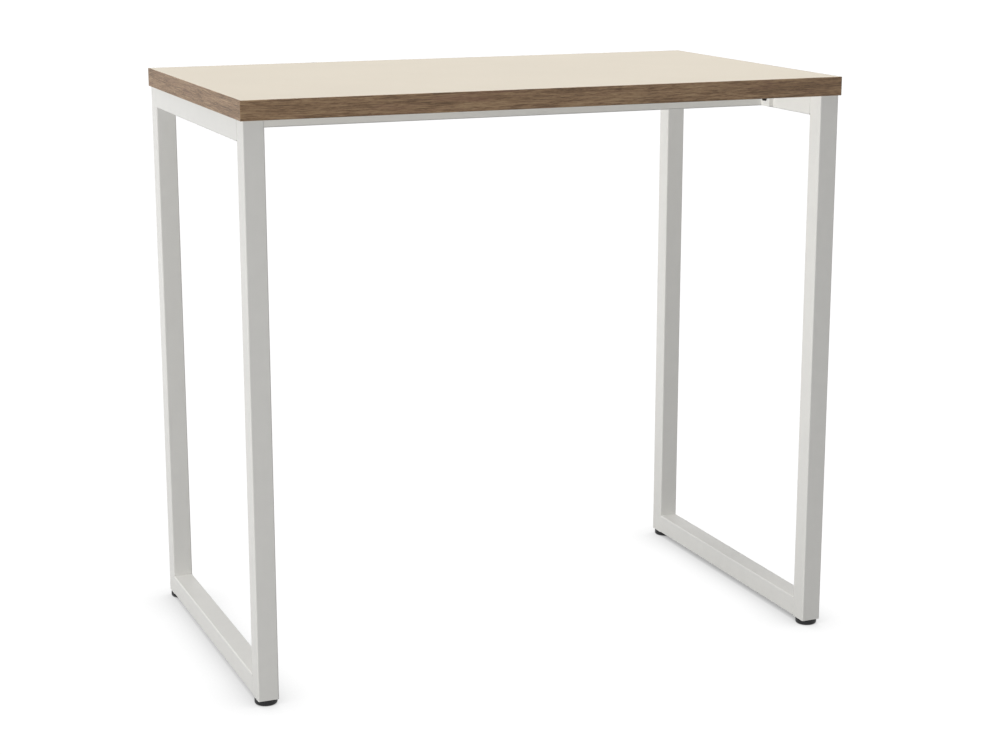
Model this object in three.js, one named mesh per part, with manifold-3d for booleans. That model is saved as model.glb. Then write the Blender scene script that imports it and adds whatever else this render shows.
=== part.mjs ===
// A standing-height meeting table: a thick, edge-banded top on two closed end frames of square tube,
// tied together by two bolted beams and set level by screw feet.
// Millimetres, +Z up. The origin is on the floor under the middle of the top, and the front faces -Y.

import * as THREE from 'three';
import { mergeVertices } from 'three/addons/utils/BufferGeometryUtils.js';
import Module from 'manifold-3d';

// Overall size
const TABLE_LENGTH = 1200;
const TABLE_DEPTH = 700;
const TABLE_HEIGHT = 1120;

// Top: a core board between two laminates, with a band on each edge
const TOP_THICKNESS = 36;
const LAMINATE_THICKNESS = 0.8;
const BACKING_THICKNESS = 0.8;
const BAND_THICKNESS = 2;
const BAND_EDGE_RADIUS = 1;

// Square steel tube of the frames and, a size smaller, of the beams
const TUBE_SIZE = 40;
const BEAM_SIZE = 38;
const TUBE_WALL = 2;
const TUBE_OUTER_RADIUS = 2.5;
const TUBE_INNER_RADIUS = 0.5;

// End frames, set back from the ends and the sides of the top
const FRAME_END_INSET = 4;
const FRAME_SIDE_INSET = 4;

// Beams: the clear space between them, and the plate welded on each end
const BEAM_GAP = 190;
const PLATE_THICKNESS = 10;
const PLATE_EAR = 31;
const PLATE_CORNER_RADIUS = 2;

// Bolts through the ears of the end plates
const BOLT_DIAMETER = 8;
const BOLT_LENGTH = 25;
const BOLT_HEAD_WIDTH = 13;
const BOLT_HEAD_HEIGHT = 5.3;

// Rivet nuts in the frames, which the bolts screw into
const NUT_WALL = 1.5;
const NUT_LENGTH = 16;
const NUT_FLANGE_WIDTH = 1.2;
const NUT_FLANGE_THICKNESS = 0.8;
const NUT_BULGE_WIDTH = 1.2;
const NUT_BULGE_LENGTH = 3;

// Screws that hold the top down, with the holes that a driver reaches them through
const SCREW_DIAMETER = 6;
const SCREW_BITE = 20;
const SCREW_POINT = 4;
const SCREW_HEAD_DIAMETER = 12;
const SCREW_HEAD_HEIGHT = 3.5;
const SCREW_HEAD_BEVEL = 1.2;
const ACCESS_HOLE_DIAMETER = 16;
const RAIL_SCREW_INSET = 60;
const BEAM_SCREW_INSET = 200;

// Levelling feet: a pad that turns on the head of a threaded stud, and the plug that the stud screws into
const FOOT_HEIGHT = 11;
const PAD_DIAMETER = 43;
const PAD_LOWER_RADIUS = 4;
const PAD_UPPER_RADIUS = 2;
const PAD_FLOOR = 3;
const PAD_LIP = 3;
const STUD_DIAMETER = 8;
const STUD_HEAD_DIAMETER = 14;
const STUD_LENGTH = 30;
const PLUG_DEPTH = 25;

// Clearances: a glue line, and the play between other pieces that touch or fit
const GLUE_LINE = 0.1;
const FIT_GAP = 0.3;

// Steps in a quarter of a small corner, and sides of round pieces
const CORNER_STEPS = 2;
const PAD_SIDES = 32;
const FASTENER_SIDES = 12;

// Places that follow from the sizes above
const underside = TABLE_HEIGHT - TOP_THICKNESS;
const frameTop = underside - FIT_GAP;
const frameHeight = frameTop - FOOT_HEIGHT;
const frameX = TABLE_LENGTH / 2 - FRAME_END_INSET - TUBE_SIZE / 2;
const postY = TABLE_DEPTH / 2 - FRAME_SIDE_INSET - TUBE_SIZE / 2;
const railLength = 2 * (postY - TUBE_SIZE / 2 - FIT_GAP);
const topRailZ = frameTop - TUBE_SIZE / 2;
const bottomRailZ = FOOT_HEIGHT + TUBE_SIZE / 2;
const beamZ = frameTop - BEAM_SIZE / 2;
const boltRise = topRailZ - beamZ;
const frameInnerX = frameX - TUBE_SIZE / 2;
const plateX = frameInnerX - FIT_GAP - PLATE_THICKNESS / 2;
const plateInnerX = plateX - PLATE_THICKNESS / 2;
const beamLength = 2 * (plateInnerX - FIT_GAP);
const beamY = (BEAM_GAP + BEAM_SIZE) / 2;
const boltOffset = (BEAM_SIZE + PLATE_EAR) / 2;
const railScrewY = railLength / 2 - RAIL_SCREW_INSET;
const beamScrewX = beamLength / 2 - BEAM_SCREW_INSET;

// Radii of holes and of the pieces that fit them
const boltHoleRadius = BOLT_DIAMETER / 2 + FIT_GAP;
const nutRadius = boltHoleRadius + NUT_WALL;
const nutFlangeRadius = nutRadius + NUT_FLANGE_WIDTH;
const screwHoleRadius = SCREW_DIAMETER / 2 + FIT_GAP;
const studHoleRadius = STUD_DIAMETER / 2 + FIT_GAP;

// Table sides: the sign of X for left and right, and of Y for front and rear
const SIDES = { left: -1, right: 1 };
const ROWS = { front: -1, rear: 1 };

const wasm = await Module();
wasm.setup();

// Materials

function finish(color, roughness, metalness) {
  return new THREE.MeshStandardMaterial({ color, roughness, metalness, flatShading: true });
}

const creamLaminate = finish(0xe4dbcc, 0.55, 0);
const backingLaminate = finish(0xd9d2c4, 0.6, 0);
const particleBoard = finish(0xc0a67c, 0.9, 0);
const woodGrainBand = finish(0x77624e, 0.55, 0);
const palePaint = finish(0xdcdbd6, 0.45, 0);
const blackSteel = finish(0x1f2022, 0.45, 0.8);
const zincSteel = finish(0xb8bbbe, 0.35, 0.9);
const blackPlastic = finish(0x1b1b1c, 0.5, 0);

// Helpers

function piece(name, geometry, material, x = 0, y = 0, z = 0) {
  const mesh = new THREE.Mesh(geometry, material);
  mesh.name = name;
  mesh.position.set(x, y, z);
  return mesh;
}

function solidOf(geometry) {
  const bare = new THREE.BufferGeometry();
  bare.setAttribute('position', geometry.getAttribute('position'));
  bare.setIndex(geometry.getIndex());
  const merged = mergeVertices(bare);
  const vertProperties = Float32Array.from(merged.getAttribute('position').array);
  const triVerts = Uint32Array.from(merged.getIndex().array);
  return new wasm.Manifold(new wasm.Mesh({ numProp: 3, vertProperties, triVerts }));
}

function geometryOf(solid) {
  const { vertProperties, triVerts } = solid.getMesh();
  const geometry = new THREE.BufferGeometry();
  geometry.setAttribute('position', new THREE.BufferAttribute(vertProperties, 3));
  geometry.setIndex(new THREE.BufferAttribute(triVerts, 1));
  return geometry;
}

function cut(geometry, tools) {
  return geometryOf(tools.reduce((solid, tool) => solid.subtract(solidOf(tool)), solidOf(geometry)));
}

function join(geometry, other) {
  return geometryOf(solidOf(geometry).add(solidOf(other)));
}

// A plain round bar along Z, or turned along X, with its middle at the given place
function bar(radius, length, x = 0, y = 0, z = 0, sides = FASTENER_SIDES) {
  const geometry = new THREE.CylinderGeometry(radius, radius, length, sides);
  return geometry.rotateX(Math.PI / 2).translate(x, y, z);
}

function barAlongX(radius, length, x, y, z) {
  return bar(radius, length).rotateY(Math.PI / 2).translate(x, y, z);
}

// A solid of revolution about Z, from a profile of radius and height
function turned(profile, sides) {
  const points = profile.map(([radius, height]) => new THREE.Vector2(radius, height));
  return new THREE.LatheGeometry(points, sides).rotateX(Math.PI / 2);
}

function roundedRectangle(path, width, height, radius) {
  const x = width / 2 - radius;
  const y = height / 2 - radius;
  path.absarc(x, -y, radius, -Math.PI / 2, 0);
  path.absarc(x, y, radius, 0, Math.PI / 2);
  path.absarc(-x, y, radius, Math.PI / 2, Math.PI);
  path.absarc(-x, -y, radius, Math.PI, Math.PI * 1.5);
  return path;
}

// A prism of a flat shape along Z, from half its depth below to half its depth above
function prism(shape, depth) {
  const options = { depth, bevelEnabled: false, curveSegments: CORNER_STEPS };
  return new THREE.ExtrudeGeometry(shape, options).translate(0, 0, -depth / 2);
}

// A length of square tube along Z, open at both ends
function squareTube(size, length) {
  const shape = roundedRectangle(new THREE.Shape(), size, size, TUBE_OUTER_RADIUS);
  const bore = size - 2 * TUBE_WALL;
  shape.holes.push(roundedRectangle(new THREE.Path(), bore, bore, TUBE_INNER_RADIUS));
  return prism(shape, length);
}

// Holes for one top screw: a clearance hole in a tube's upper wall and an access hole in its lower wall
function screwHoles(tubeSize, x, y) {
  const wallMiddle = (tubeSize - TUBE_WALL) / 2;
  return [
    bar(screwHoleRadius, 2 * TUBE_WALL, x, y, wallMiddle),
    bar(ACCESS_HOLE_DIAMETER / 2, 2 * TUBE_WALL, x, y, -wallMiddle),
  ];
}

// Places of the top screws in plan
function railScrewPlaces() {
  return Object.values(SIDES).flatMap((side) =>
    Object.values(ROWS).map((row) => [side * frameX, row * railScrewY]));
}

function beamScrewPlaces() {
  return Object.values(ROWS).flatMap((row) =>
    Object.values(SIDES).map((side) => [side * beamScrewX, row * beamY]));
}

// Top

function boardGeometry(thickness) {
  const length = TABLE_LENGTH - 2 * (BAND_THICKNESS + GLUE_LINE);
  const depth = TABLE_DEPTH - 2 * (BAND_THICKNESS + GLUE_LINE);
  return new THREE.BoxGeometry(length, depth, thickness);
}

// The pilot holes run from below the underside to just past the screws' points
function pilotHoles(boardMiddle) {
  const bottom = underside - FIT_GAP;
  const top = underside + SCREW_BITE + FIT_GAP;
  const middle = (bottom + top) / 2 - boardMiddle;
  const places = [...railScrewPlaces(), ...beamScrewPlaces()];
  return places.map(([x, y]) => bar(screwHoleRadius, top - bottom, x, y, middle));
}

// An edge band along X with its outer face towards -Y, and both outer edges rounded
function bandGeometry(length) {
  const outer = BAND_THICKNESS / 2;
  const half = TOP_THICKNESS / 2;
  const shape = new THREE.Shape();
  shape.moveTo(outer, -half);
  shape.lineTo(outer, half);
  shape.absarc(BAND_EDGE_RADIUS - outer, half - BAND_EDGE_RADIUS, BAND_EDGE_RADIUS, Math.PI / 2, Math.PI);
  shape.absarc(BAND_EDGE_RADIUS - outer, BAND_EDGE_RADIUS - half, BAND_EDGE_RADIUS, Math.PI, Math.PI * 1.5);
  return prism(shape, length).rotateX(Math.PI / 2).rotateZ(Math.PI / 2);
}

function makeTop() {
  const top = new THREE.Group();
  const laminateZ = TABLE_HEIGHT - LAMINATE_THICKNESS / 2;
  const backingZ = underside + BACKING_THICKNESS / 2;
  const coreBottom = underside + BACKING_THICKNESS + GLUE_LINE;
  const coreTop = TABLE_HEIGHT - LAMINATE_THICKNESS - GLUE_LINE;
  const coreZ = (coreBottom + coreTop) / 2;
  const core = cut(boardGeometry(coreTop - coreBottom), pilotHoles(coreZ));
  const backing = cut(boardGeometry(BACKING_THICKNESS), pilotHoles(backingZ));
  top.add(piece('top_laminate', boardGeometry(LAMINATE_THICKNESS), creamLaminate, 0, 0, laminateZ));
  top.add(piece('top_core', core, particleBoard, 0, 0, coreZ));
  top.add(piece('underside_laminate', backing, backingLaminate, 0, 0, backingZ));

  const bandZ = underside + TOP_THICKNESS / 2;
  const endBandLength = TABLE_DEPTH - 2 * (BAND_THICKNESS + GLUE_LINE);
  for (const [rowName, row] of Object.entries(ROWS)) {
    const bandY = row * (TABLE_DEPTH - BAND_THICKNESS) / 2;
    const band = piece(`${rowName}_edge_band`, bandGeometry(TABLE_LENGTH), woodGrainBand, 0, bandY, bandZ);
    band.rotation.z = row > 0 ? Math.PI : 0;
    top.add(band);
  }
  for (const [sideName, side] of Object.entries(SIDES)) {
    const bandX = side * (TABLE_LENGTH - BAND_THICKNESS) / 2;
    const band = piece(`${sideName}_edge_band`, bandGeometry(endBandLength), woodGrainBand, bandX, 0, bandZ);
    band.rotation.z = side * Math.PI / 2;
    top.add(band);
  }
  return top;
}

// End frames

function topRailGeometry(side) {
  const wallX = -side * (TUBE_SIZE - TUBE_WALL) / 2;
  const nutHoles = Object.values(ROWS).flatMap((row) =>
    [-boltOffset, boltOffset].map((offset) =>
      barAlongX(nutRadius + FIT_GAP, 2 * TUBE_WALL, wallX, row * beamY + offset, 0)));
  const topScrewHoles = Object.values(ROWS).flatMap((row) => screwHoles(TUBE_SIZE, 0, row * railScrewY));
  return cut(squareTube(TUBE_SIZE, railLength).rotateX(Math.PI / 2), [...nutHoles, ...topScrewHoles]);
}

function makeEndFrame(sideName, side) {
  const frame = new THREE.Group();
  frame.position.x = side * frameX;
  for (const [rowName, row] of Object.entries(ROWS)) {
    const postZ = FOOT_HEIGHT + frameHeight / 2;
    const name = `${sideName}_${rowName}_post`;
    frame.add(piece(name, squareTube(TUBE_SIZE, frameHeight), palePaint, 0, row * postY, postZ));
  }
  const bottomRail = squareTube(TUBE_SIZE, railLength).rotateX(Math.PI / 2);
  frame.add(piece(`${sideName}_top_rail`, topRailGeometry(side), palePaint, 0, 0, topRailZ));
  frame.add(piece(`${sideName}_bottom_rail`, bottomRail, palePaint, 0, 0, bottomRailZ));
  return frame;
}

// Beams, with their end plates, bolts and rivet nuts

function beamGeometry() {
  const holes = Object.values(SIDES).flatMap((side) => screwHoles(BEAM_SIZE, side * beamScrewX, 0));
  return cut(squareTube(BEAM_SIZE, beamLength).rotateY(Math.PI / 2), holes);
}

// An end plate across X, whose +X face bears on the frame and is counterbored for the rivet nuts' flanges
function endPlateGeometry() {
  const length = BEAM_SIZE + 2 * PLATE_EAR;
  const shape = roundedRectangle(new THREE.Shape(), length, BEAM_SIZE, PLATE_CORNER_RADIUS);
  const blank = prism(shape, PLATE_THICKNESS).rotateX(Math.PI / 2).rotateZ(Math.PI / 2);
  const counterbore = NUT_FLANGE_THICKNESS + FIT_GAP;
  const holes = [-boltOffset, boltOffset].flatMap((y) => [
    barAlongX(boltHoleRadius, 2 * PLATE_THICKNESS, 0, y, boltRise),
    barAlongX(nutFlangeRadius + FIT_GAP, 2 * counterbore, PLATE_THICKNESS / 2, y, boltRise),
  ]);
  return cut(blank, holes);
}

// A hexagon bolt along Z, with the underside of its head at zero
function boltGeometry() {
  const cornerRadius = BOLT_HEAD_WIDTH / Math.sqrt(3);
  const headMiddle = -BOLT_HEAD_HEIGHT / 2;
  const head = bar(cornerRadius, BOLT_HEAD_HEIGHT, 0, 0, headMiddle, 6);
  const shankLength = BOLT_LENGTH - headMiddle;
  return join(head, bar(BOLT_DIAMETER / 2, shankLength, 0, 0, headMiddle + shankLength / 2));
}

// A rivet nut along Z, with the outer face of the wall that it grips at zero
function rivetNutGeometry() {
  const flangeTop = -FIT_GAP;
  const flangeBottom = flangeTop - NUT_FLANGE_THICKNESS;
  const bulgeStart = TUBE_WALL + FIT_GAP;
  const bulgeEnd = bulgeStart + NUT_BULGE_LENGTH;
  const bulgeRadius = nutRadius + NUT_BULGE_WIDTH;
  return turned([
    [boltHoleRadius, flangeBottom],
    [nutFlangeRadius, flangeBottom],
    [nutFlangeRadius, flangeTop],
    [nutRadius, flangeTop],
    [nutRadius, bulgeStart],
    [bulgeRadius, bulgeStart],
    [bulgeRadius, bulgeEnd],
    [nutRadius, bulgeEnd],
    [nutRadius, NUT_LENGTH],
    [boltHoleRadius, NUT_LENGTH],
    [boltHoleRadius, flangeBottom],
  ], FASTENER_SIDES);
}

function makeBeam(rowName, row) {
  const beam = new THREE.Group();
  beam.position.set(0, row * beamY, beamZ);
  beam.add(piece(`${rowName}_beam`, beamGeometry(), palePaint));
  for (const [sideName, side] of Object.entries(SIDES)) {
    const name = `${rowName}_${sideName}`;
    const plate = piece(`${name}_end_plate`, endPlateGeometry(), palePaint, side * plateX);
    plate.rotation.z = side > 0 ? 0 : Math.PI;
    beam.add(plate);
    for (const [place, offset] of [['outer', row * boltOffset], ['inner', -row * boltOffset]]) {
      const boltX = side * (plateInnerX - FIT_GAP);
      const nutX = side * frameInnerX;
      const bolt = piece(`${name}_${place}_bolt`, boltGeometry(), blackSteel, boltX, offset, boltRise);
      const nut = piece(`${name}_${place}_rivet_nut`, rivetNutGeometry(), zincSteel, nutX, offset, boltRise);
      bolt.rotation.y = side * Math.PI / 2;
      nut.rotation.y = side * Math.PI / 2;
      beam.add(bolt, nut);
    }
  }
  return beam;
}

// Screws that hold the top

// A pan-head screw along Z, with the bearing face of its head at zero
function screwGeometry() {
  const headRadius = SCREW_HEAD_DIAMETER / 2;
  const length = 2 * FIT_GAP + TUBE_WALL + SCREW_BITE;
  return turned([
    [0, -SCREW_HEAD_HEIGHT],
    [headRadius - SCREW_HEAD_BEVEL, -SCREW_HEAD_HEIGHT],
    [headRadius, SCREW_HEAD_BEVEL - SCREW_HEAD_HEIGHT],
    [headRadius, 0],
    [SCREW_DIAMETER / 2, 0],
    [SCREW_DIAMETER / 2, length - SCREW_POINT],
    [0, length],
  ], FASTENER_SIDES);
}

function makeTopScrews() {
  const screws = new THREE.Group();
  screws.position.z = frameTop - TUBE_WALL - FIT_GAP;
  for (const [sideName, side] of Object.entries(SIDES)) {
    for (const [rowName, row] of Object.entries(ROWS)) {
      const railScrew = piece(`${sideName}_${rowName}_rail_screw`, screwGeometry(), zincSteel);
      const beamScrew = piece(`${rowName}_${sideName}_beam_screw`, screwGeometry(), zincSteel);
      railScrew.position.set(side * frameX, row * railScrewY, 0);
      beamScrew.position.set(side * beamScrewX, row * beamY, 0);
      screws.add(railScrew, beamScrew);
    }
  }
  return screws;
}

// Levelling feet

const padTop = FOOT_HEIGHT - FIT_GAP;
const socketTop = padTop - PAD_LIP;
const socketRadius = STUD_HEAD_DIAMETER / 2 + FIT_GAP;

// A round pad with rounded edges and a socket that holds the stud's head
function padGeometry() {
  const radius = PAD_DIAMETER / 2;
  const rim = new THREE.Path();
  rim.moveTo(0, 0);
  rim.lineTo(radius - PAD_LOWER_RADIUS, 0);
  rim.absarc(radius - PAD_LOWER_RADIUS, PAD_LOWER_RADIUS, PAD_LOWER_RADIUS, -Math.PI / 2, 0);
  rim.absarc(radius - PAD_UPPER_RADIUS, padTop - PAD_UPPER_RADIUS, PAD_UPPER_RADIUS, 0, Math.PI / 2);
  rim.lineTo(studHoleRadius, padTop);
  rim.lineTo(studHoleRadius, socketTop);
  rim.lineTo(socketRadius, socketTop);
  rim.lineTo(socketRadius, PAD_FLOOR);
  rim.lineTo(0, PAD_FLOOR);
  const profile = rim.getPoints(CORNER_STEPS).map((point) => [point.x, point.y]);
  return turned(profile, PAD_SIDES);
}

// A threaded stud with a round head in the pad's socket
function studGeometry() {
  const headBottom = PAD_FLOOR + FIT_GAP;
  const headTop = socketTop - FIT_GAP;
  return turned([
    [0, headBottom],
    [STUD_HEAD_DIAMETER / 2, headBottom],
    [STUD_HEAD_DIAMETER / 2, headTop],
    [STUD_DIAMETER / 2, headTop],
    [STUD_DIAMETER / 2, padTop + STUD_LENGTH],
    [0, padTop + STUD_LENGTH],
  ], FASTENER_SIDES);
}

// A plug that fills the lower end of a post, with a hole for the stud
function plugGeometry() {
  const size = TUBE_SIZE - 2 * (TUBE_WALL + FIT_GAP);
  const shape = roundedRectangle(new THREE.Shape(), size, size, TUBE_INNER_RADIUS);
  return cut(prism(shape, PLUG_DEPTH), [bar(studHoleRadius, 2 * PLUG_DEPTH)]);
}

function makeFoot(name, x, y) {
  const foot = new THREE.Group();
  foot.position.set(x, y, 0);
  foot.add(piece(`${name}_plug`, plugGeometry(), blackPlastic, 0, 0, FOOT_HEIGHT + PLUG_DEPTH / 2));
  foot.add(piece(`${name}_stud`, studGeometry(), zincSteel));
  foot.add(piece(`${name}_pad`, padGeometry(), blackPlastic));
  return foot;
}

// The whole table

const table = new THREE.Group();
table.add(makeTop(), makeTopScrews());
for (const [sideName, side] of Object.entries(SIDES)) {
  table.add(makeEndFrame(sideName, side));
}
for (const [rowName, row] of Object.entries(ROWS)) {
  table.add(makeBeam(rowName, row));
  for (const [sideName, side] of Object.entries(SIDES)) {
    table.add(makeFoot(`${rowName}_${sideName}`, side * frameX, row * postY));
  }
}

export default table;
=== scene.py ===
import math

import bmesh
import bpy
from mathutils import Color, Matrix, Vector


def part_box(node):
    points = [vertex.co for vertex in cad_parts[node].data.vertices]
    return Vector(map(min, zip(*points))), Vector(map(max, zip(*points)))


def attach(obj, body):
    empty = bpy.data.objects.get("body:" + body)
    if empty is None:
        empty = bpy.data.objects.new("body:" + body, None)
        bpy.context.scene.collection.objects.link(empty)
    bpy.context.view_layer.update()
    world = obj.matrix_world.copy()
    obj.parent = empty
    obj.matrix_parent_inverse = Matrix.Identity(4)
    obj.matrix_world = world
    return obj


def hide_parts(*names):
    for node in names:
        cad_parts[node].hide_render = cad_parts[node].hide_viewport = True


bl_info = {
    "name": "Standing meeting table",
    "version": (1, 0, 0),
    "blender": (4, 5, 0),
    "location": "View3D > Sidebar > Table",
    "description": "Finer shapes and finishes for a standing meeting table, with a plain studio round it",
    "category": "Object",
}

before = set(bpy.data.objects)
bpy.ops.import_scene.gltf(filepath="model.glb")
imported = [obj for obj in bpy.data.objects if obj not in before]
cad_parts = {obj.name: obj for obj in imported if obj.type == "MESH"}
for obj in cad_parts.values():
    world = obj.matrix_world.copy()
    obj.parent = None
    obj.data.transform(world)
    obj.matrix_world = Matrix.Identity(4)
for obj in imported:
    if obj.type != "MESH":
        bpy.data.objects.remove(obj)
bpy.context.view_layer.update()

# Names of the table's sides, rows and corners, and of the bolts in a plate, as its pieces use them
SIDES = ("left", "right")
ROWS = ("front", "rear")
CORNERS = [f"{row}_{side}" for row in ROWS for side in SIDES]
BOLT_PLACES = ("outer", "inner")
TABLE_BODY = "table"

# Axes by their number, and the turns that lay a piece made along Z along each of them
X, Y, Z = range(3)
TURNS = (
    Matrix.Rotation(math.pi / 2, 4, "Y"),
    Matrix.Rotation(-math.pi / 2, 4, "X"),
    Matrix.Identity(4),
)

# Edges that turn by more than this stay crisp
CRISP_ANGLE = math.radians(40)

# How finely small roundings and round pieces are drawn
CORNER_STEPS = 6
RIM_STEPS = 3
ARRIS_STEPS = 2
ROUND_STEPS = 64
FASTENER_STEPS = 32
HEXAGON = 6

# A length that is nothing at all beside the table
HAIR = 1e-6

# A top screw and the holes for it, as shares of its head's radius
ACCESS_SHARE = 4 / 3
CLEARANCE_SHARE = 0.55
SCREW_HEAD_SHARE = 3.5 / 6
SCREW_CROWN_SHARE = 1.2 / 6
SCREW_SHANK_SHARE = 0.5
SCREW_POINT_SHARE = 4 / 6
SOCKET_SHARE = 0.48
SOCKET_DEPTH_SHARE = 0.4

# A bolt's hole, shank and head height, as shares of the width across its head's flats
BOLT_HOLE_SHARE = 4.3 / 13
BOLT_SHANK_SHARE = 4 / 13
HEAD_HEIGHT_SHARE = 5.3 / 13

# Play round a stud's head in its pad, which is as thick over the head as under it, and how far the
# pad's lip reaches over the head
PAD_PLAY = 0.0003
SOCKET_LIP = 0.003

# The thread's profile over one turn: how far out it stands, and its place along the turn
THREAD_PROFILE = ((0.0, 0.0), (1.0, 0.375), (1.0, 0.5), (0.0, 0.875), (0.0, 1.0))

# Between these values lies most of a noise pattern
NOISE_LOW = 0.3
NOISE_HIGH = 0.7

# Heights of the relief in the finishes
FINE_RELIEF = 0.0001
PEEL_RELIEF = 0.0002
CHIP_RELIEF = 0.0004

# Where the dark, the middle and the light grain of the wood lie in its pattern
GRAIN_DARK = 0.41
GRAIN_MIDDLE = 0.5
GRAIN_LIGHT = 0.59


def colour(red, green, blue):
    """A colour written in display values from 0 to 255, as scene-linear values."""
    return tuple(Color((red / 255, green / 255, blue / 255)).from_srgb_to_scene_linear())


def length_property(name, description, default):
    return bpy.props.FloatProperty(
        name=name, description=description, default=default, min=0.0, precision=5,
        subtype="DISTANCE", unit="LENGTH")


def colour_property(name, description, default):
    return bpy.props.FloatVectorProperty(
        name=name, description=description, default=default, size=3, min=0.0, max=1.0,
        subtype="COLOR")


class TableSizes(bpy.types.PropertyGroup):
    """Small sizes of the table that its solids leave plain"""
    laminate_arris: length_property("Laminate arris", "Rounding along the laminate's edges", 0.0002)
    band_edge: length_property("Band edge", "Rounding along the outer edges of the bands", 0.001)
    tube_corner: length_property("Tube corner", "Outside corner radius of the square tube", 0.0025)
    tube_wall: length_property("Tube wall", "Wall thickness of the square tube", 0.002)
    top_weld_depth: length_property("Top weld depth", "Depth of the upper welds below the tubes", 0.0008)
    low_weld_depth: length_property("Low weld depth", "Depth of the lower welds below the tubes", 0.0002)
    weld_reach: length_property("Weld reach", "How far a weld runs over the post's rounded corner", 0.0024)
    plate_corner: length_property("Plate corner", "Corner radius of the beams' end plates", 0.002)
    plate_arris: length_property("Plate arris", "Rounding along the plates' edges", 0.0005)
    bolt_chamfer: length_property("Bolt chamfer", "Chamfer round the top of a bolt's head", 0.0008)
    pad_lower_edge: length_property("Pad lower edge", "Rounding at the foot of a pad", 0.004)
    pad_upper_edge: length_property("Pad upper edge", "Rounding at the top of a pad", 0.002)
    thread_pitch: length_property("Thread pitch", "Rise of a stud's thread in one turn", 0.00125)
    thread_depth: length_property("Thread depth", "Depth of a stud's thread", 0.0007)


class TableColours(bpy.types.PropertyGroup):
    """Colours of the table's finishes"""
    laminate: colour_property("Laminate", "Cream face of the top", colour(226, 216, 198))
    backing: colour_property("Backing", "Balancing laminate under the top", colour(214, 206, 193))
    board: colour_property("Board", "Raw particle board", colour(192, 166, 124))
    wood_dark: colour_property("Wood, dark", "Dark grain of the edge bands", colour(86, 65, 44))
    wood_middle: colour_property("Wood, middle", "Ground of the edge bands", colour(131, 104, 77))
    wood_light: colour_property("Wood, light", "Light grain of the edge bands", colour(163, 137, 106))
    wood_red: colour_property("Wood, red", "Reddish streaks in the edge bands", colour(111, 79, 64))
    paint: colour_property("Paint", "Pale powder coat of the steel", colour(221, 220, 216))
    black_steel: colour_property("Black steel", "Blackened bolts", colour(54, 52, 52))
    # The steel inside the tubes is bare, and its dark colour is also painted shade there, since the fill
    # lamps cast no shadow into the tubes
    bare_steel: colour_property("Bare steel", "Unpainted steel inside the tubes", colour(58, 57, 56))
    zinc: colour_property("Zinc", "Zinc-plated screws, nuts and studs", colour(188, 191, 194))
    plastic: colour_property("Plastic", "Black plastic of the feet", colour(30, 30, 31))
    floor: colour_property("Floor", "Plain floor of the studio", colour(243, 243, 243))


# Materials

def new_material(name):
    """An empty finish with its shader."""
    material = bpy.data.materials.new(name)
    material.use_nodes = True
    return material, material.node_tree.nodes["Principled BSDF"]


def add_node(material, kind, settings=None, **inputs):
    """Adds a node, sets its options and fills its inputs with values or with links."""
    node = material.node_tree.nodes.new(kind)
    for option, value in (settings or {}).items():
        setattr(node, option, value)
    for name, value in inputs.items():
        connect(material, value, node.inputs[name.replace("_", " ")])
    return node


def connect(material, source, socket):
    if isinstance(source, bpy.types.NodeSocket):
        material.node_tree.links.new(source, socket)
    else:
        socket.default_value = source


def object_place(material, scale=(1, 1, 1), rotation=(0, 0, 0)):
    """The place on the object, stretched and turned for a pattern."""
    coordinates = add_node(material, "ShaderNodeTexCoord")
    mapping = add_node(
        material, "ShaderNodeMapping",
        Vector=coordinates.outputs["Object"], Scale=scale, Rotation=rotation)
    return mapping.outputs["Vector"]


def noise(material, place, scale, detail=2.0, roughness=0.5, distortion=0.0):
    node = add_node(
        material, "ShaderNodeTexNoise",
        Vector=place, Scale=scale, Detail=detail, Roughness=roughness, Distortion=distortion)
    return node.outputs["Fac"]


def ranged(material, value, low, high, new_low, new_high):
    """Carries the part of a pattern between two values over to a new range."""
    node = add_node(material, "ShaderNodeMapRange", {"clamp": True}, Value=value)
    node.inputs["From Min"].default_value = low
    node.inputs["From Max"].default_value = high
    node.inputs["To Min"].default_value = new_low
    node.inputs["To Max"].default_value = new_high
    return node.outputs["Result"]


def combined(material, operation, first, second):
    node = add_node(material, "ShaderNodeMath", {"operation": operation})
    connect(material, first, node.inputs[0])
    connect(material, second, node.inputs[1])
    return node.outputs[0]


def weighed_sum(material, *patterns):
    """Adds patterns up, each given with its weight."""
    weighed = [combined(material, "MULTIPLY", pattern, weight) for pattern, weight in patterns]
    total = weighed[0]
    for pattern in weighed[1:]:
        total = combined(material, "ADD", total, pattern)
    return total


def ramp(material, value, stops):
    """Colours along a pattern, each given with its place."""
    node = add_node(material, "ShaderNodeValToRGB", Fac=value)
    elements = node.color_ramp.elements
    while len(elements) < len(stops):
        elements.new(1.0)
    for element, (place, tint) in zip(elements, stops):
        element.position = place
        element.color = (*tint, 1.0)
    return node.outputs["Color"]


def mixed(material, amount, first, second):
    node = add_node(material, "ShaderNodeMix", {"data_type": "RGBA"})
    connect(material, amount, node.inputs["Factor"])
    for name, tint in (("A", first), ("B", second)):
        socket = next(s for s in node.inputs if s.name == name and s.type == "RGBA")
        connect(material, tint if isinstance(tint, bpy.types.NodeSocket) else (*tint, 1.0), socket)
    return next(s for s in node.outputs if s.type == "RGBA")


def bump(material, height, strength, distance, under=None):
    """Turns a pattern into fine relief, over other relief where there is some."""
    node = add_node(material, "ShaderNodeBump", Height=height, Strength=strength, Distance=distance)
    if under is not None:
        connect(material, under, node.inputs["Normal"])
    return node.outputs["Normal"]


def shaded(tint, share):
    """A colour made darker or lighter by a share."""
    return tuple(min(1.0, value * share) for value in tint)


def tint_by(material, shader, pattern, tint, dark, light):
    """Lets a pattern shade a finish between a darker and a lighter share of its colour."""
    tones = ramp(material, pattern, [(NOISE_LOW, shaded(tint, dark)), (NOISE_HIGH, shaded(tint, light))])
    connect(material, tones, shader.inputs["Base Color"])


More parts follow.
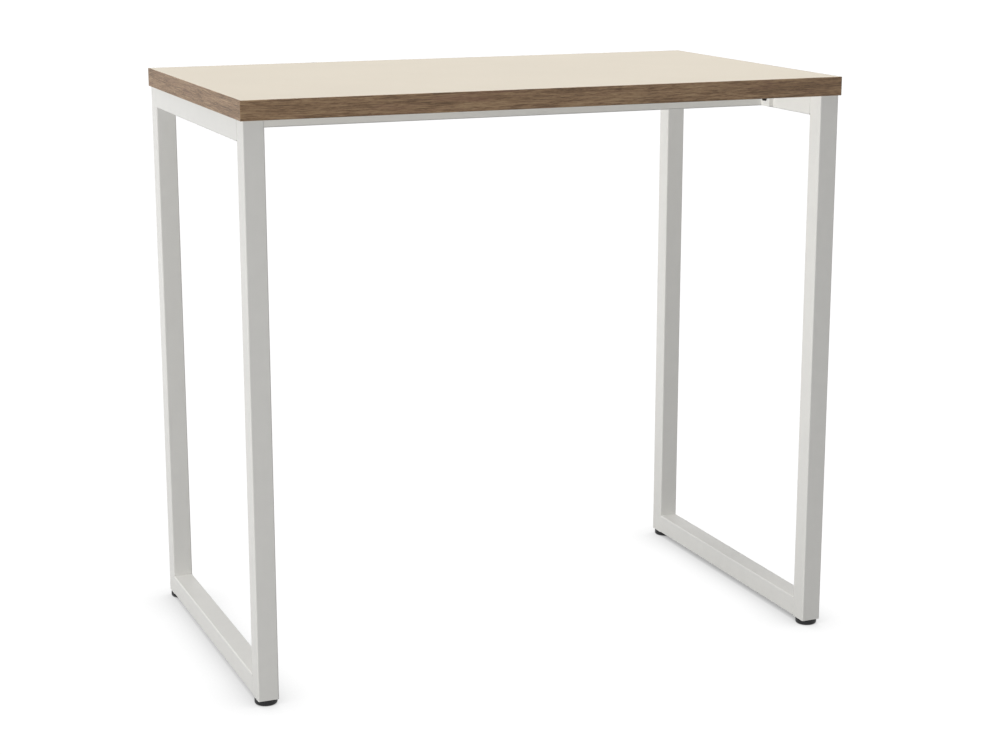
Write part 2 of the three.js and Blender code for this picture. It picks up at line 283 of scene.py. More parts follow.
def roughen_by(material, shader, pattern, at_low, at_high):
    """Lets a pattern vary a finish's roughness."""
    roughness = ranged(material, pattern, NOISE_LOW, NOISE_HIGH, at_low, at_high)
    connect(material, roughness, shader.inputs["Roughness"])


def raise_by(material, shader, pattern, strength, distance):
    """Lets a pattern stand out as fine relief."""
    connect(material, bump(material, pattern, strength, distance), shader.inputs["Normal"])


def laminate_material(name, tint):
    """Matt laminate: a faint cloud and speckle in the colour, and a fine pebbled relief."""
    material, shader = new_material(name)
    place = object_place(material)
    cloud = noise(material, place, scale=6.0, detail=3.0)
    speckle = noise(material, place, scale=900.0, detail=3.0, roughness=0.6)
    blend = weighed_sum(material, (cloud, 0.5), (speckle, 0.5))
    tint_by(material, shader, blend, tint, dark=0.975, light=1.02)
    roughen_by(material, shader, speckle, at_low=0.46, at_high=0.56)
    raise_by(material, shader, speckle, strength=0.12, distance=FINE_RELIEF)
    shader.inputs["Specular IOR Level"].default_value = 0.35
    return material


def board_material(name, tint):
    """Raw particle board: pressed chips of many browns."""
    material, shader = new_material(name)
    place = object_place(material, scale=(1.0, 1.0, 2.5))
    chips = add_node(material, "ShaderNodeTexVoronoi", Vector=place, Scale=420.0, Randomness=1.0)
    shade = noise(material, chips.outputs["Position"], scale=300.0)
    tint_by(material, shader, shade, tint, dark=0.6, light=1.2)
    raise_by(material, shader, shade, strength=0.5, distance=CHIP_RELIEF)
    shader.inputs["Roughness"].default_value = 0.9
    shader.inputs["Specular IOR Level"].default_value = 0.2
    return material


def wood_material(name, colours, along):
    """Wood-grain band with its grain along one axis: figure, streaks, fibres, pores and reddish patches."""
    material, shader = new_material(name)
    turn = (0, 0, 0) if along == "X" else (0, 0, math.pi / 2)

    def grained(length_scale, height_scale, detail, roughness, distortion):
        place = object_place(material, (length_scale, length_scale, height_scale), turn)
        return noise(material, place, 1.0, detail, roughness, distortion)

    figure = grained(length_scale=5.0, height_scale=80.0, detail=4.0, roughness=0.55, distortion=1.2)
    streaks = grained(length_scale=20.0, height_scale=520.0, detail=4.0, roughness=0.65, distortion=0.4)
    fibres = grained(length_scale=90.0, height_scale=900.0, detail=3.0, roughness=0.65, distortion=0.2)
    pores = grained(length_scale=30.0, height_scale=700.0, detail=2.0, roughness=0.6, distortion=0.3)
    patches = grained(length_scale=8.0, height_scale=70.0, detail=3.0, roughness=0.5, distortion=0.8)
    grain = weighed_sum(material, (figure, 0.26), (streaks, 0.44), (fibres, 0.3))
    tones = ramp(material, grain, [
        (GRAIN_DARK, colours.wood_dark),
        (GRAIN_MIDDLE, colours.wood_middle),
        (GRAIN_LIGHT, colours.wood_light)])
    red_share = ranged(material, patches, low=0.55, high=0.72, new_low=0.0, new_high=0.5)
    reddened = mixed(material, red_share, tones, colours.wood_red)
    pore_share = ranged(material, pores, low=0.57, high=0.7, new_low=0.0, new_high=0.5)
    finished = mixed(material, pore_share, reddened, shaded(colours.wood_dark, 0.6))
    connect(material, finished, shader.inputs["Base Color"])
    roughness = ranged(material, grain, low=0.35, high=0.65, new_low=0.56, new_high=0.46)
    connect(material, roughness, shader.inputs["Roughness"])
    raised_fibres = bump(material, fibres, strength=0.15, distance=FINE_RELIEF)
    pore_height = combined(material, "SUBTRACT", 1.0, pore_share)
    relief = bump(material, pore_height, strength=0.25, distance=FINE_RELIEF, under=raised_fibres)
    connect(material, relief, shader.inputs["Normal"])
    return material


def paint_material(name, tint):
    """Powder coat: fine orange peel, with a slight mottle in colour and gloss."""
    material, shader = new_material(name)
    place = object_place(material)
    mottle = noise(material, place, scale=35.0, detail=3.0)
    peel = noise(material, place, scale=650.0, roughness=0.45)
    tint_by(material, shader, mottle, tint, dark=0.985, light=1.01)
    roughen_by(material, shader, peel, at_low=0.38, at_high=0.48)
    raise_by(material, shader, peel, strength=0.1, distance=PEEL_RELIEF)
    return material


def steel_material(name, tint, smoothest, roughest):
    """Bare, plated or blackened steel: crystalline tint and uneven gloss."""
    material, shader = new_material(name)
    place = object_place(material)
    crystals = noise(material, place, scale=700.0, detail=4.0, roughness=0.65)
    tint_by(material, shader, crystals, tint, dark=0.82, light=1.1)
    roughen_by(material, shader, crystals, at_low=roughest, at_high=smoothest)
    raise_by(material, shader, crystals, strength=0.08, distance=FINE_RELIEF)
    shader.inputs["Metallic"].default_value = 1.0
    return material


def plastic_material(name, tint):
    """Moulded black plastic: a fine spark-eroded skin with duller patches."""
    material, shader = new_material(name)
    place = object_place(material)
    skin = noise(material, place, scale=1800.0, detail=3.0, roughness=0.6)
    patches = noise(material, place, scale=60.0)
    tint_by(material, shader, patches, tint, dark=0.8, light=1.25)
    roughen_by(material, shader, patches, at_low=0.4, at_high=0.55)
    raise_by(material, shader, skin, strength=0.2, distance=FINE_RELIEF)
    shader.inputs["Specular IOR Level"].default_value = 0.32
    return material


def finish_called(slot, maker, *values, **settings):
    """The finish of a slot, made the first time that it is asked for, beside the frame's own plain one."""
    name = f"{slot}_finish"
    return bpy.data.materials.get(name) or maker(name, *values, **settings)


def paint(context):
    return finish_called("pale_paint", paint_material, context.scene.table_colours.paint)


def wood(context, along):
    return finish_called(f"wood_grain_band_{along}", wood_material, context.scene.table_colours, along)


def black_steel(context):
    tint = context.scene.table_colours.black_steel
    return finish_called("black_steel", steel_material, tint, smoothest=0.35, roughest=0.5)


# Bare steel for the tubes' insides, dark enough to be painted shade inside them as well
def bare_steel(context):
    tint = context.scene.table_colours.bare_steel
    return finish_called("bare_steel", steel_material, tint, smoothest=0.5, roughest=0.7)


def zinc(context):
    tint = context.scene.table_colours.zinc
    return finish_called("zinc_steel", steel_material, tint, smoothest=0.28, roughest=0.42)


def plastic(context):
    return finish_called("black_plastic", plastic_material, context.scene.table_colours.plastic)


# Shapes

def middle_and_span(node):
    """The middle of a solid's box, and its size along each axis."""
    low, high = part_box(node)
    return (Vector(low) + Vector(high)) / 2, Vector(high) - Vector(low)


def round_edges(bm, edges, width, steps):
    bmesh.ops.bevel(
        bm, geom=list(edges), offset=width, offset_type="OFFSET", affect="EDGES",
        segments=steps, profile=0.5, material=-1, clamp_overlap=True)


def place_mesh(bm, matrix):
    bmesh.ops.transform(bm, matrix=matrix, verts=bm.verts[:])


def block(span, place):
    """A plain block to be worked on further."""
    bm = bmesh.new()
    bmesh.ops.create_cube(bm, size=1.0)
    bmesh.ops.scale(bm, vec=span, verts=bm.verts[:])
    bmesh.ops.translate(bm, vec=place, verts=bm.verts[:])
    return bm


def rounded_square(side, corner):
    """A flat square with rounded corners, in the XY plane."""
    bm = bmesh.new()
    bmesh.ops.create_grid(bm, x_segments=1, y_segments=1, size=side / 2)
    bmesh.ops.bevel(
        bm, geom=bm.verts[:], offset=corner, offset_type="OFFSET", affect="VERTICES",
        segments=CORNER_STEPS, profile=0.5, material=-1)
    return bm


def raise_faces(bm, height):
    """Draws every face up along Z into a solid, with its middle at zero."""
    drawn = bmesh.ops.extrude_face_region(bm, geom=bm.faces[:])
    upper = [item for item in drawn["geom"] if isinstance(item, bmesh.types.BMVert)]
    bmesh.ops.translate(bm, vec=(0, 0, height), verts=upper)
    bmesh.ops.translate(bm, vec=(0, 0, -height / 2), verts=bm.verts[:])
    bmesh.ops.recalc_face_normals(bm, faces=bm.faces[:])


def square_tube(side, length, sizes):
    """A length of square tube along Z, open at its ends."""
    bm = rounded_square(side, sizes.tube_corner)
    bmesh.ops.inset_individual(bm, faces=bm.faces[:], thickness=sizes.tube_wall, use_even_offset=True)
    inside = max(bm.faces, key=lambda face: len(face.verts))
    bmesh.ops.delete(bm, geom=[inside], context="FACES_ONLY")
    raise_faces(bm, length)
    return bm


def turned(profile, steps):
    """A round shape about Z from a profile of radius and height."""
    bm = bmesh.new()
    points = [bm.verts.new((radius, 0, height)) for radius, height in profile]
    edges = [bm.edges.new(pair) for pair in zip(points, points[1:])]
    bmesh.ops.spin(
        bm, geom=points + edges, cent=(0, 0, 0), axis=(0, 0, 1),
        angle=2 * math.pi, steps=steps, use_merge=True)
    bmesh.ops.remove_doubles(bm, verts=bm.verts[:], dist=HAIR)
    bmesh.ops.recalc_face_normals(bm, faces=bm.faces[:])
    return bm


def runs_along(edge, axis):
    return abs(edge.verts[0].co[axis] - edge.verts[1].co[axis]) > HAIR


def lies_at(item, axis, place):
    """Whether an edge or a face lies at one place along an axis."""
    return all(abs(vert.co[axis] - place) < HAIR for vert in item.verts)


def ring_edges(bm, radius, height):
    """The edges of a round shape that lie at one radius and height."""
    level = [edge for edge in bm.edges if lies_at(edge, Z, height)]
    return [
        edge for edge in level
        if all(abs(vert.co.xy.length - radius) < HAIR for vert in edge.verts)]


def drill(bm, holes, sides=FASTENER_STEPS):
    """Cuts holes, each given as its middle, its turn, its radius and its depth."""
    drills = bmesh.new()
    for middle, turn, radius, depth in holes:
        made = bmesh.ops.create_cone(
            drills, cap_ends=True, segments=sides, radius1=radius, radius2=radius, depth=depth)
        bmesh.ops.transform(drills, matrix=Matrix.Translation(middle) @ turn, verts=made["verts"])
    blank = loose_object(bm, "blank")
    cutter = loose_object(drills, "drills")
    cutting = blank.modifiers.new("holes", "BOOLEAN")
    cutting.object = cutter
    cutting.solver = "EXACT"
    drilled = blank.evaluated_get(bpy.context.evaluated_depsgraph_get())
    result = bmesh.new()
    result.from_mesh(drilled.to_mesh())
    drilled.to_mesh_clear()
    for used in (blank, cutter):
        bpy.data.meshes.remove(used.data)
    return result


def loose_object(bm, name):
    """Puts a mesh into the scene as an object, and lets go of its bmesh."""
    mesh = bpy.data.meshes.new(name)
    bm.to_mesh(mesh)
    bm.free()
    made = bpy.data.objects.new(name, mesh)
    bpy.context.scene.collection.objects.link(made)
    return made


def set_crisp_edges(bm):
    """Smooth faces, with the sharper edges left crisp."""
    for face in bm.faces:
        face.smooth = True
    for edge in bm.edges:
        edge.smooth = edge.calc_face_angle(math.pi) < CRISP_ANGLE


def finish_piece(bm, name, material, body, slot, *nodes):
    """Makes a piece of a mesh in place: it rides on a body, and the solids named are hidden for it."""
    set_crisp_edges(bm)
    made = loose_object(bm, name)
    made.data.materials.append(material)
    shading = made.modifiers.new("even shading", "WEIGHTED_NORMAL")
    shading.keep_sharp = True
    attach(made, body)
    if nodes:
        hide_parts(*nodes)
    return made


def paint_node(node, material):
    """Gives a solid that stays as it is its finish."""
    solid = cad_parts[node]
    if not solid.material_slots:
        solid.data.materials.append(material)
    for slot in solid.material_slots:
        slot.material = material


# Operators, one for each group of pieces

class TABLE_OT_top(bpy.types.Operator):
    """Lays the cream laminate, and finishes the board and its backing"""
    bl_idname = "table.top"
    bl_label = "Top"

    def execute(self, context):
        colours = context.scene.table_colours
        sizes = context.scene.table_sizes
        middle, span = middle_and_span("top_laminate")
        bm = block(span, middle)
        round_edges(bm, bm.edges, sizes.laminate_arris, RIM_STEPS)
        cream = finish_called("cream_laminate", laminate_material, colours.laminate)
        finish_piece(bm, "laminate_sheet", cream, TABLE_BODY, "cream_laminate", "top_laminate")
        paint_node("top_core", finish_called("particle_board", board_material, colours.board))
        paint_node(
            "underside_laminate", finish_called("backing_laminate", laminate_material, colours.backing))
        return {"FINISHED"}


class TABLE_OT_edge_bands(bpy.types.Operator):
    """Bands the four edges of the top in wood grain, with rounded outer edges and corners"""
    bl_idname = "table.edge_bands"
    bl_label = "Edge bands"

    def execute(self, context):
        sizes = context.scene.table_sizes
        for name in ROWS:
            self.make_band(context, name, across=Y, along="X", round_ends=True, width=sizes.band_edge)
        for name in SIDES:
            self.make_band(context, name, across=X, along="Y", round_ends=False, width=sizes.band_edge)
        return {"FINISHED"}

    def make_band(self, context, name, across, along, round_ends, width):
        node = f"{name}_edge_band"
        middle, span = middle_and_span(node)
        bm = block(span, middle)
        outward = math.copysign(1.0, middle[across])
        outer = middle[across] + outward * span[across] / 2
        outer_edges = [edge for edge in bm.edges if lies_at(edge, across, outer)]
        rounded = [edge for edge in outer_edges if round_ends or not runs_along(edge, Z)]
        round_edges(bm, rounded, width, RIM_STEPS)
        finish_piece(bm, f"{name}_band", wood(context, along), TABLE_BODY, "wood_grain_band", node)


def screw_holes(nodes, tube_middle, side, sizes):
    """Holes in a tube under top screws: one that a driver reaches through, and one for the shank."""
    holes = []
    wall = (side - sizes.tube_wall) / 2
    for node in nodes:
        place, span = middle_and_span(node)
        low = Vector((place.x, place.y, tube_middle.z - wall))
        high = Vector((place.x, place.y, tube_middle.z + wall))
        head_radius = span.x / 2
        holes.append((low, TURNS[Z], head_radius * ACCESS_SHARE, 2 * sizes.tube_wall))
        holes.append((high, TURNS[Z], head_radius * CLEARANCE_SHARE, 2 * sizes.tube_wall))
    return holes


def tube_piece(context, node, holes=()):
    """A smooth-cornered tube in the place of a solid tube, with its holes."""
    sizes = context.scene.table_sizes
    middle, span = middle_and_span(node)
    axis = max(range(3), key=lambda index: span[index])
    bm = square_tube(min(span), span[axis], sizes)
    place_mesh(bm, Matrix.Translation(middle) @ TURNS[axis])
    if holes:
        bm = drill(bm, holes)
    bare_and_shaded_inside(bm, middle, axis, (min(span) - sizes.tube_wall) / 2)
    made = finish_piece(bm, f"{node}_tube", paint(context), TABLE_BODY, "pale_paint", node)
    # Inside, bare steel whose dark colour also stands in as painted shade, where the fill lamps cast none
    made.data.materials.append(bare_steel(context))


def bare_and_shaded_inside(bm, middle, axis, reach):
    """Leaves the faces inside a tube to its second finish, the bare steel whose dark colour also paints the
    shade inside the tube.
    """
    across = [index for index in range(3) if index != axis]
    for face in bm.faces:
        offset = face.calc_center_bounds() - middle
        if all(abs(offset[index]) < reach - HAIR for index in across):
            face.material_index = 1


class TABLE_OT_end_frames(bpy.types.Operator):
    """Builds both end frames of smooth square tube, with ground welds where the rails meet the posts"""
    bl_idname = "table.end_frames"
    bl_label = "End frames"

    def execute(self, context):
        sizes = context.scene.table_sizes
        for side in SIDES:
            for row in ROWS:
                tube_piece(context, f"{side}_{row}_post")
            tube_piece(context, f"{side}_bottom_rail")
            rail = f"{side}_top_rail"
            middle, span = middle_and_span(rail)
            holes = screw_holes([f"{side}_{row}_rail_screw" for row in ROWS], middle, span.z, sizes)
            tube_piece(context, rail, holes)
            self.weld_ends(context, rail, sizes.top_weld_depth, sizes)
            self.weld_ends(context, f"{side}_bottom_rail", sizes.low_weld_depth, sizes)
        return {"FINISHED"}

    def weld_ends(self, context, rail, depth, sizes):
        middle, span = middle_and_span(rail)
        for row, outward in zip(ROWS, (-1, 1)):
            bm = rounded_square(span.x - 2 * depth, sizes.tube_corner)
            raise_faces(bm, sizes.weld_reach)
            reach = outward * (span.y + sizes.weld_reach) / 2
            place_mesh(bm, Matrix.Translation(middle + Vector((0, reach, 0))) @ TURNS[Y])
            finish_piece(bm, f"{rail}_{row}_weld", paint(context), TABLE_BODY, "pale_paint")


class TABLE_OT_beams(bpy.types.Operator):
    """Builds the beams under the top and the plates that bolt them to the frames"""
    bl_idname = "table.beams"
    bl_label = "Beams"

    def execute(self, context):
        sizes = context.scene.table_sizes
        for row in ROWS:
            beam = f"{row}_beam"
            middle, span = middle_and_span(beam)
            holes = screw_holes([f"{row}_{side}_beam_screw" for side in SIDES], middle, span.z, sizes)
            tube_piece(context, beam, holes)
            for side in SIDES:
                self.make_plate(context, f"{row}_{side}")
        return {"FINISHED"}

    def make_plate(self, context, corner):
        sizes = context.scene.table_sizes
        node = f"{corner}_end_plate"
        middle, span = middle_and_span(node)
        bm = block(span, middle)
        round_edges(bm, [edge for edge in bm.edges if runs_along(edge, X)], sizes.plate_corner, RIM_STEPS)
        rims = [edge for edge in bm.edges if edge.calc_face_angle() > CRISP_ANGLE]
        round_edges(bm, rims, sizes.plate_arris, ARRIS_STEPS)
        holes = []
        for place in BOLT_PLACES:
            bolt, bolt_span = middle_and_span(f"{corner}_{place}_bolt")
            bolt_hole = Vector((middle.x, bolt.y, bolt.z))
            holes.append((bolt_hole, TURNS[X], min(bolt_span) * BOLT_HOLE_SHARE, 2 * span.x))
        bm = drill(bm, holes)
        finish_piece(bm, f"{corner}_plate", paint(context), TABLE_BODY, "pale_paint", node)


class TABLE_OT_fasteners(bpy.types.Operator):
    """Makes the hexagon bolts of the beams and the screws of the top, and finishes the rivet nuts"""
    bl_idname = "table.fasteners"
    bl_label = "Fasteners"

    def execute(self, context):
        for corner in CORNERS:
            for place in BOLT_PLACES:
                self.make_bolt(context, f"{corner}_{place}")
                paint_node(f"{corner}_{place}_rivet_nut", zinc(context))
            self.make_screw(context, f"{corner}_beam_screw")
        for side in SIDES:
            for row in ROWS:
                self.make_screw(context, f"{side}_{row}_rail_screw")
        return {"FINISHED"}

    def make_screw(self, context, node):
        middle, span = middle_and_span(node)
        head = span.x / 2
        head_height = head * SCREW_HEAD_SHARE
        shank = head * SCREW_SHANK_SHARE
        bm = turned([
            (0, 0), (head, 0), (head, head_height), (shank, head_height),
            (shank, span.z - head * SCREW_POINT_SHARE), (0, span.z)], FASTENER_STEPS)
        round_edges(bm, ring_edges(bm, head, 0), head * SCREW_CROWN_SHARE, CORNER_STEPS)
        socket_depth = head * SOCKET_DEPTH_SHARE
        bm = drill(bm, [(Vector(), TURNS[Z], head * SOCKET_SHARE, 2 * socket_depth)], sides=HEXAGON)
        place_mesh(bm, Matrix.Translation(middle - Vector((0, 0, span.z / 2))))
        finish_piece(bm, f"{node}_pan_head", zinc(context), TABLE_BODY, "zinc_steel", node)

    def make_bolt(self, context, name):
        node = f"{name}_bolt"
        middle, span = middle_and_span(node)
        flats = min(span)
        head_height = flats * HEAD_HEIGHT_SHARE
        bm = hexagon_bolt(flats, head_height, span.x - head_height, context.scene.table_sizes.bolt_chamfer)
        outward = math.copysign(1.0, middle.x)
        seat = middle - Vector((outward * (span.x / 2 - head_height), 0, 0))
        turn = Matrix.Rotation(outward * math.pi / 2, 4, "Y")
        place_mesh(bm, Matrix.Translation(seat) @ turn)
        finish_piece(bm, f"{name}_hexagon_bolt", black_steel(context), TABLE_BODY, "black_steel", node)


def add_bar(bm, radius, length, middle, sides):
    """Adds a straight bar along Z, with its middle at one height."""
    made = bmesh.ops.create_cone(
        bm, cap_ends=True, segments=sides, radius1=radius, radius2=radius, depth=length)
    bmesh.ops.translate(bm, vec=(0, 0, middle), verts=made["verts"])


def hexagon_bolt(flats, head_height, shank_length, chamfer):
    """A bolt along Z, with the underside of its head at zero."""
    bm = bmesh.new()
    add_bar(bm, flats / math.sqrt(3), head_height, -head_height / 2, HEXAGON)
    add_bar(bm, flats * BOLT_SHANK_SHARE, shank_length, shank_length / 2, FASTENER_STEPS)
    meeting = [face for face in bm.faces if lies_at(face, Z, 0)]
    loops = [edge for face in meeting for edge in face.edges]
    bmesh.ops.delete(bm, geom=meeting, context="FACES_ONLY")
    bmesh.ops.bridge_loops(bm, edges=loops)
    crown = [edge for edge in bm.edges if lies_at(edge, Z, -head_height)]
    round_edges(bm, crown, chamfer, ARRIS_STEPS)
    bmesh.ops.recalc_face_normals(bm, faces=bm.faces[:])
    return bm


class TABLE_OT_feet(bpy.types.Operator):
    """Makes the levelling feet: round pads on threaded studs, and the plugs that they screw into"""
    bl_idname = "table.feet"
    bl_label = "Feet"

    def execute(self, context):
        for corner in CORNERS:
            paint_node(f"{corner}_plug", plastic(context))
            self.make_pad(context, corner)
            self.make_stud(context, corner)
        return {"FINISHED"}

    def make_pad(self, context, corner):
        sizes = context.scene.table_sizes
        node = f"{corner}_pad"
        middle, span = middle_and_span(node)
        stud_middle, stud_span = middle_and_span(f"{corner}_stud")
        radius = span.x / 2
        height = span.z
        socket = stud_span.x / 2 + PAD_PLAY
        neck = socket - SOCKET_LIP
        floor = stud_middle.z - stud_span.z / 2 - PAD_PLAY
        bm = turned([
            (0, 0), (radius, 0), (radius, height), (neck, height), (neck, height - floor),
            (socket, height - floor), (socket, floor), (0, floor)], ROUND_STEPS)
        round_edges(bm, ring_edges(bm, radius, 0), sizes.pad_lower_edge, CORNER_STEPS)
        round_edges(bm, ring_edges(bm, radius, height), sizes.pad_upper_edge, CORNER_STEPS)
        place_mesh(bm, Matrix.Translation(Vector((middle.x, middle.y, middle.z - height / 2))))
        finish_piece(bm, f"{corner}_round_pad", plastic(context), f"{corner}_foot", "black_plastic", node)

    def make_stud(self, context, corner):
        sizes = context.scene.table_sizes
        node = f"{corner}_stud"
        middle, span = middle_and_span(node)
        _, pad_span = middle_and_span(f"{corner}_pad")
        shank_radius = span.x / 2 - SOCKET_LIP
        bottom = middle.z - span.z / 2
        top = middle.z + span.z / 2
        head_top = pad_span.z - bottom
        head_middle = (bottom + head_top) / 2
        bm = threaded_rod(shank_radius, head_middle, top, sizes.thread_pitch, sizes.thread_depth)
        head_radius = span.x / 2
        head_profile = [(0, bottom), (head_radius, bottom), (head_radius, head_top), (0, head_top)]
        head = turned(head_profile, FASTENER_STEPS)
        head_mesh = bpy.data.meshes.new("stud_head")
        head.to_mesh(head_mesh)
        head.free()
        bm.from_mesh(head_mesh)
        bpy.data.meshes.remove(head_mesh)
        place_mesh(bm, Matrix.Translation(Vector((middle.x, middle.y, 0))))
        finish_piece(bm, f"{corner}_threaded_stud", zinc(context), f"{corner}_screw", "zinc_steel", node)


def threaded_rod(radius, bottom, top, pitch, depth):
    """A rod along Z with a real thread, cut square at both ends."""
    bm = bmesh.new()
    start = bottom - pitch
    turns = math.ceil((top - start) / pitch) + 1
    points = [
        bm.verts.new((radius - depth * (1 - out), 0, start + pitch * share))
        for out, share in THREAD_PROFILE]
    edges = [bm.edges.new(pair) for pair in zip(points, points[1:])]
    bmesh.ops.spin(
        bm, geom=points + edges, cent=(0, 0, 0), axis=(0, 0, 1), dvec=(0, 0, pitch / FASTENER_STEPS),
        angle=2 * math.pi * turns, steps=FASTENER_STEPS * turns)
    bmesh.ops.remove_doubles(bm, verts=bm.verts[:], dist=HAIR)
    for height, outward in ((bottom, -1), (top, 1)):
        bmesh.ops.bisect_plane(
            bm, geom=bm.verts[:] + bm.edges[:] + bm.faces[:], plane_co=(0, 0, height),
            plane_no=(0, 0, outward), clear_outer=True)
    bmesh.ops.holes_fill(bm, edges=[edge for edge in bm.edges if edge.is_boundary])
    bmesh.ops.recalc_face_normals(bm, faces=bm.faces[:])
    return bm


# Stage: where the camera stands, in metres and degrees, and its lens and sensor in millimetres
CAMERA_PLACE = (-1.5535, -3.875, 1.4898)
CAMERA_AZIMUTH = -22.195
CAMERA_ELEVATION = 13.356
CAMERA_LENS = 75.39
CAMERA_SENSOR = 36.0

# Studio light: the even light all round, and a soft lamp above
SKY_STRENGTH = 0.15
TOP_LAMP_DIRECTION = (-0.1, 0.0, 1.0)
TOP_LAMP_STRENGTH = 1.26
TOP_LAMP_SPREAD = math.radians(40)

# Fill without shadows: how much light each lamp gives to faces turned along each axis
FILL_LAMPS = {
    "left_fill": (-0.46, -0.295, 0.36),
    "back_fill": (0.3, 0.14, 0.0),
}

# Feathered lamps: the place, what it is aimed at, how wide it spreads and its power
FEATHERED_LAMPS = {
    "side_lamp": ((-20.0, 0.0, 1.4), (0.0, 0.0, 1.1), math.radians(8), 3200.0),
    "front_lamp": ((-0.9, -20.0, 0.4), (-0.9, 0.0, 0.4), math.radians(8), 1250.0),
    "right_lamp": ((-13.5, 14.1, 0.9), (0.6, 0.0, 0.9), math.radians(5.5), 1600.0),
}

# Floor: half its side, how far it lies under the feet, and how much of its colour it throws back
FLOOR_REACH = 40.0
FLOOR_DROP = 0.0001
FLOOR_BOUNCE = 0.42

# Shadow on the floor: how far a piece darkens it, how soon it fades, and the floor's brightness in the open
SHADOW_REACH = 0.16
SHADOW_FADE = 0.5
FLOOR_OPEN = 1.06


def seen_directly(material):
    """One where the camera, a reflection or a clear piece looks at the studio, and zero for its light."""
    path = add_node(material, "ShaderNodeLightPath")
    reflected = combined(material, "MAXIMUM", path.outputs["Is Camera Ray"], path.outputs["Is Glossy Ray"])
    return combined(material, "MAXIMUM", reflected, path.outputs["Is Transmission Ray"])


def mixed_shader(material, amount, first, second):
    node = add_node(material, "ShaderNodeMixShader", Fac=amount)
    connect(material, first.outputs[0], node.inputs[1])
    connect(material, second.outputs[0], node.inputs[2])
    return node


def floor_material(tint):
    """A floor that is seen as the white studio under a soft shadow, so a foot below it shows through."""
    material = bpy.data.materials.new("floor")
    material.use_nodes = True
    material.node_tree.nodes.clear()
    bounce = add_node(material, "ShaderNodeBsdfDiffuse", Color=(*shaded(tint, FLOOR_BOUNCE), 1.0))
    shadow = add_node(material, "ShaderNodeAmbientOcclusion", Distance=SHADOW_REACH)
    faded = combined(material, "POWER", shadow.outputs["AO"], SHADOW_FADE)
    brightness = combined(material, "MULTIPLY", faded, FLOOR_OPEN)
    pale = add_node(material, "ShaderNodeBsdfTransparent", Color=brightness)
    upper = mixed_shader(material, seen_directly(material), bounce, pale)
    clear = add_node(material, "ShaderNodeBsdfTransparent")
    underside = add_node(material, "ShaderNodeNewGeometry").outputs["Backfacing"]
    both = mixed_shader(material, underside, upper, clear)
    add_node(material, "ShaderNodeOutputMaterial", Surface=both.outputs[0])
    return material


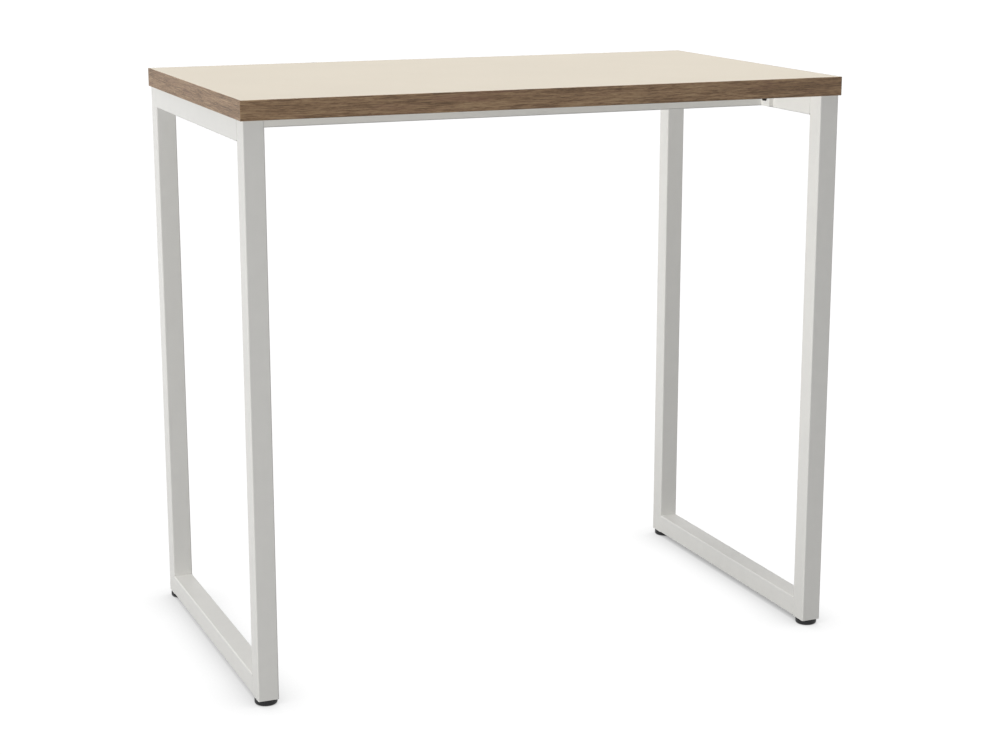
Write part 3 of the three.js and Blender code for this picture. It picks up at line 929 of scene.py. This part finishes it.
class TABLE_OT_stage(bpy.types.Operator):
    """Sets up the pale floor, the soft studio light and the camera"""
    bl_idname = "table.stage"
    bl_label = "Stage"

    def execute(self, context):
        scene = context.scene
        scene.view_settings.view_transform = "Standard"
        self.lay_floor(scene.table_colours.floor)
        self.light_world(scene)
        self.hang_lamps(scene)
        self.stand_camera(scene)
        return {"FINISHED"}

    def lay_floor(self, tint):
        bm = bmesh.new()
        bmesh.ops.create_grid(bm, x_segments=1, y_segments=1, size=FLOOR_REACH)
        bmesh.ops.translate(bm, vec=(0, 0, -FLOOR_DROP), verts=bm.verts[:])
        floor = loose_object(bm, "floor")
        floor.data.materials.append(floor_material(tint))

    def light_world(self, scene):
        world = bpy.data.worlds.new("studio")
        world.use_nodes = True
        world.node_tree.nodes.clear()
        lift = combined(world, "MULTIPLY", seen_directly(world), 1.0 - SKY_STRENGTH)
        strength = combined(world, "ADD", lift, SKY_STRENGTH)
        sky = add_node(world, "ShaderNodeBackground", Color=(1.0, 1.0, 1.0, 1.0), Strength=strength)
        add_node(world, "ShaderNodeOutputWorld", Surface=sky.outputs[0])
        scene.world = world

    def hang_lamps(self, scene):
        top = self.hang_lamp(scene, "top_lamp", "SUN", TOP_LAMP_STRENGTH, TOP_LAMP_DIRECTION)
        top.data.angle = TOP_LAMP_SPREAD
        top.data.use_shadow = True
        top.visible_glossy = True
        for name, light in FILL_LAMPS.items():
            self.hang_lamp(scene, name, "SUN", math.pi * Vector(light).length, light)
        for name, (place, aim, spread, power) in FEATHERED_LAMPS.items():
            lamp = self.hang_lamp(scene, name, "SPOT", power, Vector(place) - Vector(aim))
            lamp.data.spot_size = spread
            lamp.data.spot_blend = 1.0
            lamp.location = place

    def hang_lamp(self, scene, name, kind, strength, back):
        """Hangs a lamp that fills without shadows or highlights, with its back turned one way."""
        data = bpy.data.lights.new(name, kind)
        data.energy = strength
        data.use_shadow = False
        lamp = bpy.data.objects.new(name, data)
        lamp.visible_glossy = False
        lamp.rotation_euler = Vector(back).to_track_quat("Z", "Y").to_euler()
        scene.collection.objects.link(lamp)
        return lamp

    def stand_camera(self, scene):
        data = bpy.data.cameras.new("camera")
        data.sensor_fit = "HORIZONTAL"
        data.sensor_width = CAMERA_SENSOR
        data.lens = CAMERA_LENS
        camera = bpy.data.objects.new("camera", data)
        camera.location = CAMERA_PLACE
        camera.rotation_euler = (
            math.radians(90.0 - CAMERA_ELEVATION), 0.0, math.radians(CAMERA_AZIMUTH))
        scene.collection.objects.link(camera)
        scene.camera = camera


class TABLE_PT_panel(bpy.types.Panel):
    """Lists the table's pieces with their sizes and colours"""
    bl_idname = "TABLE_PT_panel"
    bl_label = "Standing meeting table"
    bl_space_type = "VIEW_3D"
    bl_region_type = "UI"
    bl_category = "Table"

    def draw(self, context):
        for operator in OPERATORS:
            self.layout.operator(operator.bl_idname)
        for group in (context.scene.table_sizes, context.scene.table_colours):
            column = self.layout.column()
            for name in group.__annotations__:
                column.prop(group, name)


OPERATORS = (
    TABLE_OT_top,
    TABLE_OT_edge_bands,
    TABLE_OT_end_frames,
    TABLE_OT_beams,
    TABLE_OT_fasteners,
    TABLE_OT_feet,
    TABLE_OT_stage,
)
CLASSES = (TableSizes, TableColours, *OPERATORS, TABLE_PT_panel)


def register():
    for item in CLASSES:
        bpy.utils.register_class(item)
    bpy.types.Scene.table_sizes = bpy.props.PointerProperty(type=TableSizes)
    bpy.types.Scene.table_colours = bpy.props.PointerProperty(type=TableColours)


def unregister():
    del bpy.types.Scene.table_colours
    del bpy.types.Scene.table_sizes
    for item in reversed(CLASSES):
        bpy.utils.unregister_class(item)


def main():
    register()
    bpy.ops.table.top()
    bpy.ops.table.edge_bands()
    bpy.ops.table.end_frames()
    bpy.ops.table.beams()
    bpy.ops.table.fasteners()
    bpy.ops.table.feet()
    bpy.ops.table.stage()


if __name__ == "__main__":
    main()
